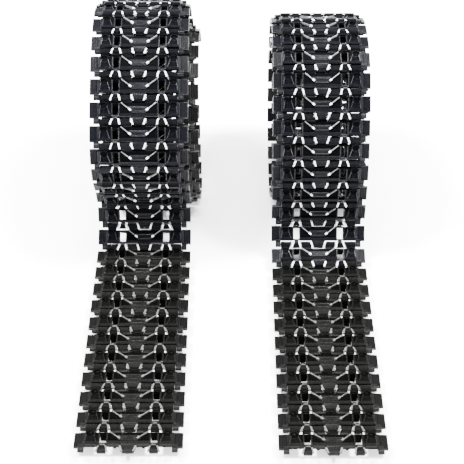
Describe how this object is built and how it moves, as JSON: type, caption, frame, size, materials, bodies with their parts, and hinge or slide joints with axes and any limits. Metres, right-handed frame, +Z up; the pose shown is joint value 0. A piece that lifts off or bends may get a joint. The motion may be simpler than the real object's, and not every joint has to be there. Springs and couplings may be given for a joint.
{
  "type": "tank track",
  "caption": "Hinged plastic tank tracks on steel pins, lying side by side, each flat at the front and rolled into a loose coil behind.",
  "frame": {"origin": "middle of the footprint of both tracks, on the surface they stand on", "axes": "+X across the tracks, to the right seen from their free ends; +Y along the tracks, from the free ends to the coils; +Z up"},
  "size_m": [0.129, 0.2282, 0.1018],
  "materials": {
    "link_plastic": "semi-gloss moulded plastic",
    "pin_steel": "drawn steel wire"
  },
  "bodies": {
    "left_link_01": {"left_link_01": "link_plastic", "left_pin_01": "pin_steel"},
    "left_link_02": {"left_link_02": "link_plastic", "left_pin_02": "pin_steel"},
    "left_link_03": {"left_link_03": "link_plastic", "left_pin_03": "pin_steel"},
    "left_link_04": {"left_link_04": "link_plastic", "left_pin_04": "pin_steel"},
    "left_link_05": {"left_link_05": "link_plastic", "left_pin_05": "pin_steel"},
    "left_link_06": {"left_link_06": "link_plastic", "left_pin_06": "pin_steel"},
    "left_link_07": {"left_link_07": "link_plastic", "left_pin_07": "pin_steel"},
    "left_link_08": {"left_link_08": "link_plastic", "left_pin_08": "pin_steel"},
    "left_link_09": {"left_link_09": "link_plastic", "left_pin_09": "pin_steel"},
    "left_link_10": {"left_link_10": "link_plastic", "left_pin_10": "pin_steel"},
    "left_link_11": {"left_link_11": "link_plastic", "left_pin_11": "pin_steel"},
    "left_link_12": {"left_link_12": "link_plastic", "left_pin_12": "pin_steel"},
    "left_link_13": {"left_link_13": "link_plastic", "left_pin_13": "pin_steel"},
    "left_coil_front": {"left_coil_front_links": "link_plastic", "left_coil_front_pins": "pin_steel"},
    "left_coil_core": {"left_coil_core_links": "link_plastic", "left_coil_core_pins": "pin_steel"},
    "right_link_01": {"right_link_01": "link_plastic", "right_pin_01": "pin_steel"},
    "right_link_02": {"right_link_02": "link_plastic", "right_pin_02": "pin_steel"},
    "right_link_03": {"right_link_03": "link_plastic", "right_pin_03": "pin_steel"},
    "right_link_04": {"right_link_04": "link_plastic", "right_pin_04": "pin_steel"},
    "right_link_05": {"right_link_05": "link_plastic", "right_pin_05": "pin_steel"},
    "right_link_06": {"right_link_06": "link_plastic", "right_pin_06": "pin_steel"},
    "right_link_07": {"right_link_07": "link_plastic", "right_pin_07": "pin_steel"},
    "right_link_08": {"right_link_08": "link_plastic", "right_pin_08": "pin_steel"},
    "right_link_09": {"right_link_09": "link_plastic", "right_pin_09": "pin_steel"},
    "right_link_10": {"right_link_10": "link_plastic", "right_pin_10": "pin_steel"},
    "right_link_11": {"right_link_11": "link_plastic", "right_pin_11": "pin_steel"},
    "right_link_12": {"right_link_12": "link_plastic", "right_pin_12": "pin_steel"},
    "right_link_13": {"right_link_13": "link_plastic", "right_pin_13": "pin_steel"},
    "right_coil_front": {"right_coil_front_links": "link_plastic", "right_coil_front_pins": "pin_steel"},
    "right_coil_core": {"right_coil_core_links": "link_plastic", "right_coil_core_pins": "pin_steel"}
  },
  "joints": [
    {"name": "left_coil_hinge", "type": "hinge", "parent": "left_coil_core", "child": "left_coil_front", "pos_m": [-0.042, 0.09737, 0.08672], "axis": [1, 0, 0], "range_deg": [-12, 0]},
    {"name": "left_hinge_13", "type": "hinge", "parent": "left_coil_front", "child": "left_link_13", "pos_m": [-0.042, 0.02136, 0.02262], "axis": [-1, 0, 0], "range_deg": [-8, 6]},
    {"name": "left_hinge_12", "type": "hinge", "parent": "left_link_13", "child": "left_link_12", "pos_m": [-0.042, 0.01833, 0.01205], "axis": [1, 0, 0], "range_deg": [-2, 8]},
    {"name": "left_hinge_11", "type": "hinge", "parent": "left_link_12", "child": "left_link_11", "pos_m": [-0.042, 0.00943, 0.00558], "axis": [-1, 0, 0], "range_deg": [-8, 4]},
    {"name": "left_hinge_10", "type": "hinge", "parent": "left_link_11", "child": "left_link_10", "pos_m": [-0.042, -0.00157, 0.00558], "axis": [-1, 0, 0], "range_deg": [-30, 40]},
    {"name": "left_hinge_09", "type": "hinge", "parent": "left_link_10", "child": "left_link_09", "pos_m": [-0.042, -0.01257, 0.00558], "axis": [1, 0, 0], "range_deg": [-40, 30]},
    {"name": "left_hinge_08", "type": "hinge", "parent": "left_link_09", "child": "left_link_08", "pos_m": [-0.042, -0.02357, 0.00558], "axis": [-1, 0, 0], "range_deg": [-30, 40]},
    {"name": "left_hinge_07", "type": "hinge", "parent": "left_link_08", "child": "left_link_07", "pos_m": [-0.042, -0.03457, 0.00558], "axis": [1, 0, 0], "range_deg": [-40, 30]},
    {"name": "left_hinge_06", "type": "hinge", "parent": "left_link_07", "child": "left_link_06", "pos_m": [-0.042, -0.04557, 0.00558], "axis": [-1, 0, 0], "range_deg": [-30, 40]},
    {"name": "left_hinge_05", "type": "hinge", "parent": "left_link_06", "child": "left_link_05", "pos_m": [-0.042, -0.05657, 0.00558], "axis": [1, 0, 0], "range_deg": [-40, 30]},
    {"name": "left_hinge_04", "type": "hinge", "parent": "left_link_05", "child": "left_link_04", "pos_m": [-0.042, -0.06757, 0.00558], "axis": [-1, 0, 0], "range_deg": [-30, 40]},
    {"name": "left_hinge_03", "type": "hinge", "parent": "left_link_04", "child": "left_link_03", "pos_m": [-0.042, -0.07857, 0.00558], "axis": [1, 0, 0], "range_deg": [-40, 30]},
    {"name": "left_hinge_02", "type": "hinge", "parent": "left_link_03", "child": "left_link_02", "pos_m": [-0.042, -0.08957, 0.00558], "axis": [-1, 0, 0], "range_deg": [-30, 40]},
    {"name": "left_hinge_01", "type": "hinge", "parent": "left_link_02", "child": "left_link_01", "pos_m": [-0.042, -0.10057, 0.00558], "axis": [1, 0, 0], "range_deg": [-40, 30]},
    {"name": "right_coil_hinge", "type": "hinge", "parent": "right_coil_core", "child": "right_coil_front", "pos_m": [0.042, 0.07608, 0.09097], "axis": [1, 0, 0], "range_deg": [-12, 0]},
    {"name": "right_hinge_13", "type": "hinge", "parent": "right_coil_front", "child": "right_link_13", "pos_m": [0.042, 0.01572, 0.02852], "axis": [-1, 0, 0], "range_deg": [-8, 8]},
    {"name": "right_hinge_12", "type": "hinge", "parent": "right_link_13", "child": "right_link_12", "pos_m": [0.042, 0.01457, 0.01758], "axis": [1, 0, 0], "range_deg": [-8, 8]},
    {"name": "right_hinge_11", "type": "hinge", "parent": "right_link_12", "child": "right_link_11", "pos_m": [0.042, 0.00795, 0.0088], "axis": [-1, 0, 0], "range_deg": [-8, 4]},
    {"name": "right_hinge_10", "type": "hinge", "parent": "right_link_11", "child": "right_link_10", "pos_m": [0.042, -0.00257, 0.00558], "axis": [1, 0, 0], "range_deg": [-8, 8]},
    {"name": "right_hinge_09", "type": "hinge", "parent": "right_link_10", "child": "right_link_09", "pos_m": [0.042, -0.01357, 0.00558], "axis": [-1, 0, 0], "range_deg": [-30, 40]},
    {"name": "right_hinge_08", "type": "hinge", "parent": "right_link_09", "child": "right_link_08", "pos_m": [0.042, -0.02457, 0.00558], "axis": [1, 0, 0], "range_deg": [-40, 30]},
    {"name": "right_hinge_07", "type": "hinge", "parent": "right_link_08", "child": "right_link_07", "pos_m": [0.042, -0.03557, 0.00558], "axis": [-1, 0, 0], "range_deg": [-30, 40]},
    {"name": "right_hinge_06", "type": "hinge", "parent": "right_link_07", "child": "right_link_06", "pos_m": [0.042, -0.04657, 0.00558], "axis": [1, 0, 0], "range_deg": [-40, 30]},
    {"name": "right_hinge_05", "type": "hinge", "parent": "right_link_06", "child": "right_link_05", "pos_m": [0.042, -0.05757, 0.00558], "axis": [-1, 0, 0], "range_deg": [-30, 40]},
    {"name": "right_hinge_04", "type": "hinge", "parent": "right_link_05", "child": "right_link_04", "pos_m": [0.042, -0.06857, 0.00558], "axis": [1, 0, 0], "range_deg": [-40, 30]},
    {"name": "right_hinge_03", "type": "hinge", "parent": "right_link_04", "child": "right_link_03", "pos_m": [0.042, -0.07957, 0.00558], "axis": [-1, 0, 0], "range_deg": [-30, 40]},
    {"name": "right_hinge_02", "type": "hinge", "parent": "right_link_03", "child": "right_link_02", "pos_m": [0.042, -0.09057, 0.00558], "axis": [1, 0, 0], "range_deg": [-40, 30]},
    {"name": "right_hinge_01", "type": "hinge", "parent": "right_link_02", "child": "right_link_01", "pos_m": [0.042, -0.10157, 0.00558], "axis": [-1, 0, 0], "range_deg": [-30, 40]},
    {"name": "right_track_slide", "type": "slide", "parent": "left_coil_core", "child": "right_coil_core", "axis": [1, 0, 0], "range_m": [0, 0.06]}
  ]
}
